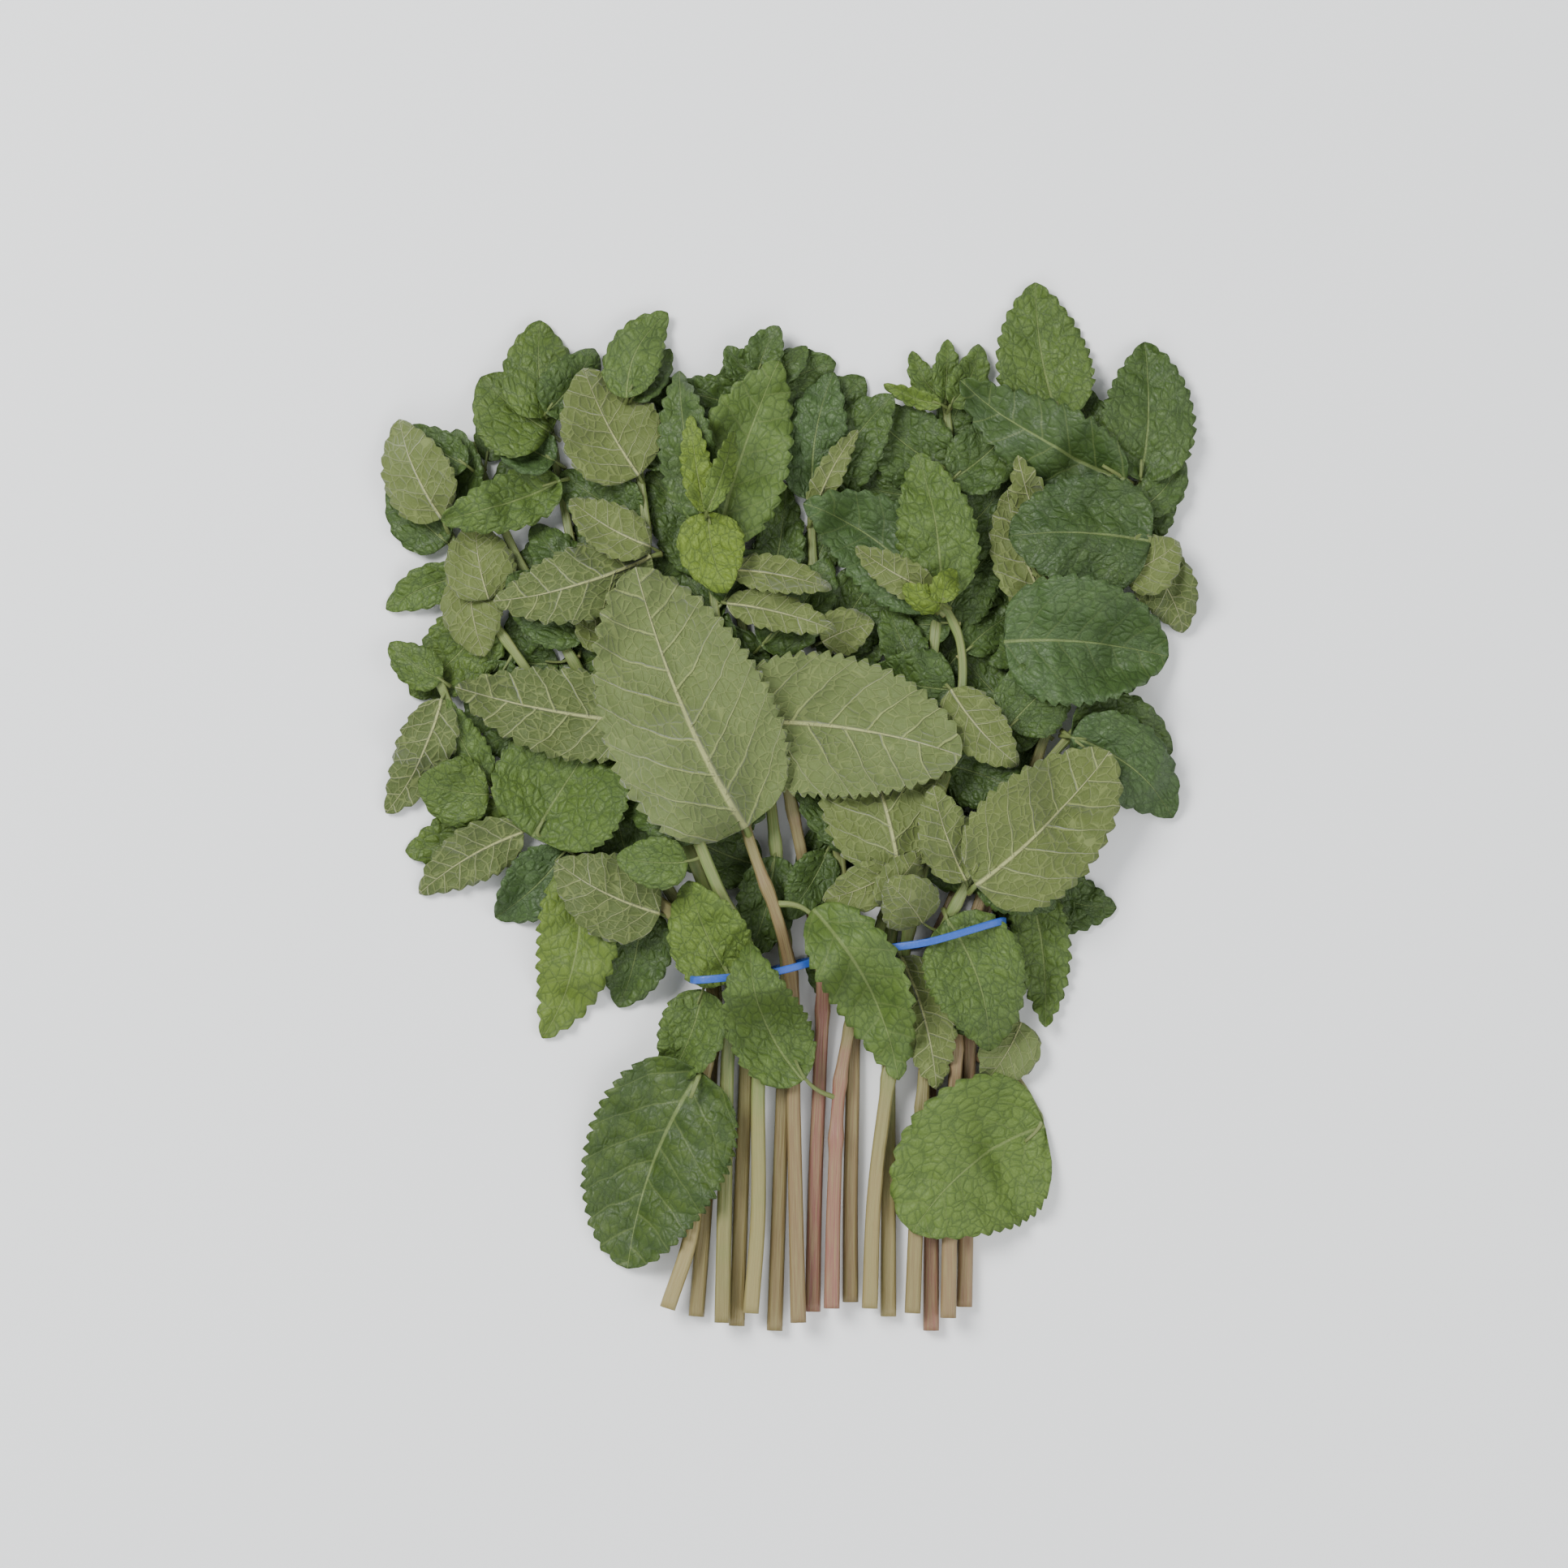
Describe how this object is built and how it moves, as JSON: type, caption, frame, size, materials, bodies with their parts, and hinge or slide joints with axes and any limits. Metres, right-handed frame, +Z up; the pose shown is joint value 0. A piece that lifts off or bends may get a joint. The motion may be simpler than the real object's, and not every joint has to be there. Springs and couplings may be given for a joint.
{
  "type": "bunch of mint",
  "caption": "Fresh mint sprigs gathered into a loose bunch by a rubber band round the stems, lying flat, with toothed leaves fanned out above bare cut stems.",
  "frame": {"origin": "under the middle of the bunch, on the surface that it lies on", "axes": "+Y along the bunch, from the cut stem ends towards the leaf tips; +Z up, across the layers of leaves; +X to the right seen from above with the leaf tips away from the viewer"},
  "size_m": [0.1722, 0.221, 0.0251],
  "materials": {
    "mint_green": "fresh leaf and stem, soft sheen",
    "band_blue": "smooth, slightly glossy"
  },
  "bodies": {
    "root": {"sprig_01_back_left": "mint_green", "sprig_02_back_middle": "mint_green", "sprig_03_back_right": "mint_green", "sprig_04_back_top": "mint_green", "sprig_05_tall_middle": "mint_green", "sprig_06_right_tall": "mint_green", "sprig_07_left_tall": "mint_green", "sprig_08_middle": "mint_green", "sprig_09_right": "mint_green", "sprig_10_middle_right": "mint_green", "sprig_11_left_low": "mint_green", "sprig_12_top_left": "mint_green", "sprig_13_short": "mint_green", "sprig_14_right_low": "mint_green", "sprig_15_upper_left": "mint_green", "sprig_16_hero": "mint_green", "rubber_band": "band_blue"}
  },
  "joints": []
}
